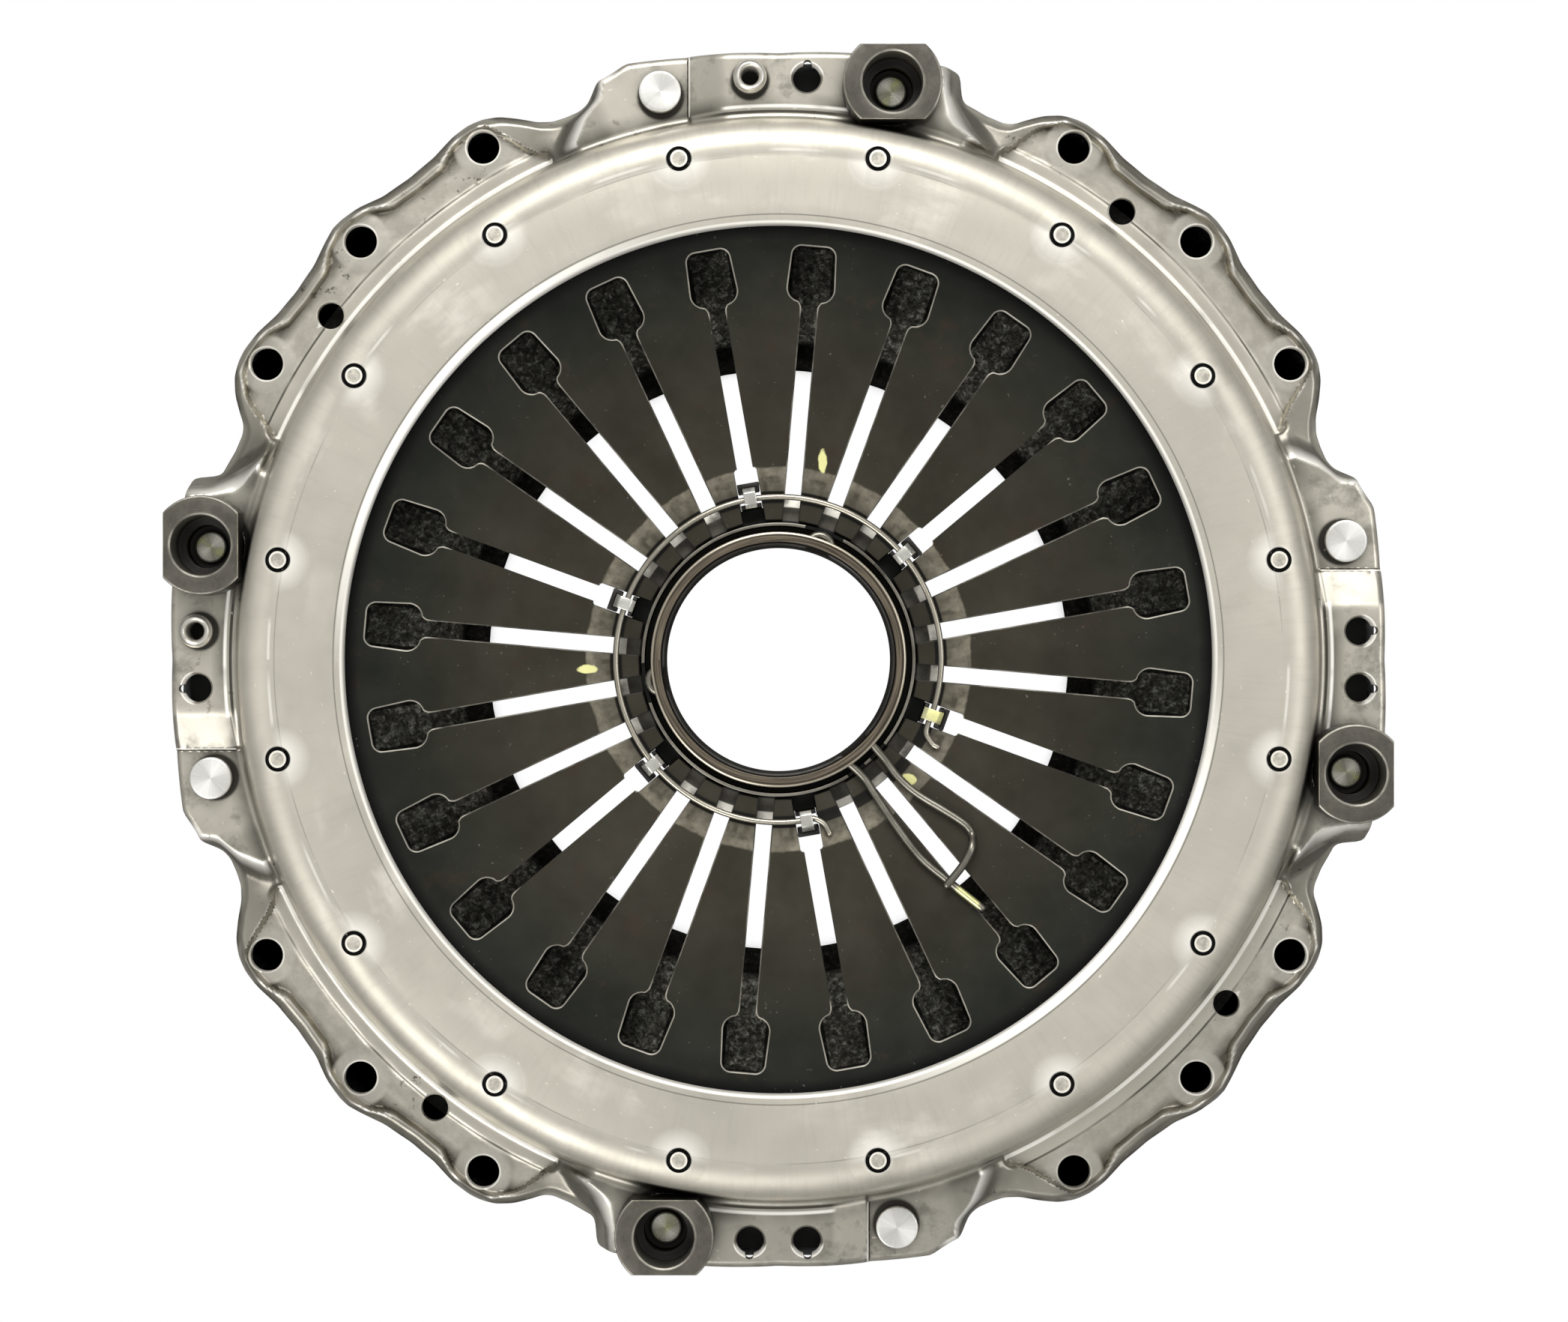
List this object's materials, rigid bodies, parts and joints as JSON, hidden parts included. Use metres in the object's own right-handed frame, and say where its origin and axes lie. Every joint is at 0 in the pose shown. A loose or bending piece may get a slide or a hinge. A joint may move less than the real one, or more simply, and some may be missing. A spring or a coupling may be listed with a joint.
{
  "type": "clutch pressure plate",
  "caption": "Pull-type diaphragm clutch cover: domed pressed housing with lobed flange, slotted cone spring, release ring, leaf straps and a cast pressure plate.",
  "frame": {"origin": "on the clutch axis, in the plane of the friction face that the part stands on", "axes": "+Z along the clutch axis towards the gearbox; +X towards the middle of one of the four strap stations"},
  "size_m": [0.457, 0.457, 0.068],
  "materials": {
    "cover_steel": "pressed steel, satin",
    "ring_steel": "bare steel",
    "pin_steel": "bare steel",
    "spring_steel": "oiled dark spring steel",
    "rivet_steel": "bright turned steel",
    "plate_iron": "rough cast iron, ground friction face",
    "stud_steel": "turned steel with a paint mark",
    "ring_bronze": "hardened steel with a brown tint",
    "clip_steel": "bright spring steel",
    "wire_steel": "drawn spring wire",
    "snap_steel": "drawn spring wire, dark",
    "strap_steel": "cold rolled spring strip",
    "sleeve_steel": "phosphated steel"
  },
  "bodies": {
    "cover": {"cover_housing": "cover_steel", "fulcrum_ring": "ring_steel", "fulcrum_pins": "pin_steel", "diaphragm_spring": "spring_steel", "strap_rivets": "rivet_steel", "balance_rivets": "rivet_steel", "strap_1_lower": "strap_steel", "strap_1_middle": "strap_steel", "strap_1_upper": "strap_steel", "strap_2_lower": "strap_steel", "strap_2_middle": "strap_steel", "strap_2_upper": "strap_steel", "strap_3_lower": "strap_steel", "strap_3_middle": "strap_steel", "strap_3_upper": "strap_steel", "strap_4_lower": "strap_steel", "strap_4_middle": "strap_steel", "strap_4_upper": "strap_steel"},
    "pressure_plate": {"pressure_plate": "plate_iron", "lug_studs": "stud_steel", "stop_sleeve_1": "sleeve_steel", "stop_sleeve_2": "sleeve_steel", "stop_sleeve_3": "sleeve_steel", "stop_sleeve_4": "sleeve_steel"},
    "release_ring": {"release_ring": "ring_bronze", "thrust_ring": "ring_bronze", "ring_clips": "clip_steel", "retaining_wire": "wire_steel", "snap_ring": "snap_steel"}
  },
  "joints": [
    {"name": "plate_lift", "type": "slide", "parent": "cover", "child": "pressure_plate", "axis": [0, 0, 1], "range_m": [0, 0.0022], "stiffness_N_per_m": 200000, "springref_m": -0.003, "deforming": ["strap_1_lower", "strap_1_middle", "strap_1_upper", "strap_2_lower", "strap_2_middle", "strap_2_upper", "strap_3_lower", "strap_3_middle", "strap_3_upper", "strap_4_lower", "strap_4_middle", "strap_4_upper"]},
    {"name": "release_travel", "type": "slide", "parent": "cover", "child": "release_ring", "axis": [0, 0, 1], "range_m": [0, 0.012], "deforming": ["diaphragm_spring"]}
  ],
  "couplings": [
    {"joint": "release_travel", "follows": "plate_lift", "ratio": 5.45}
  ]
}
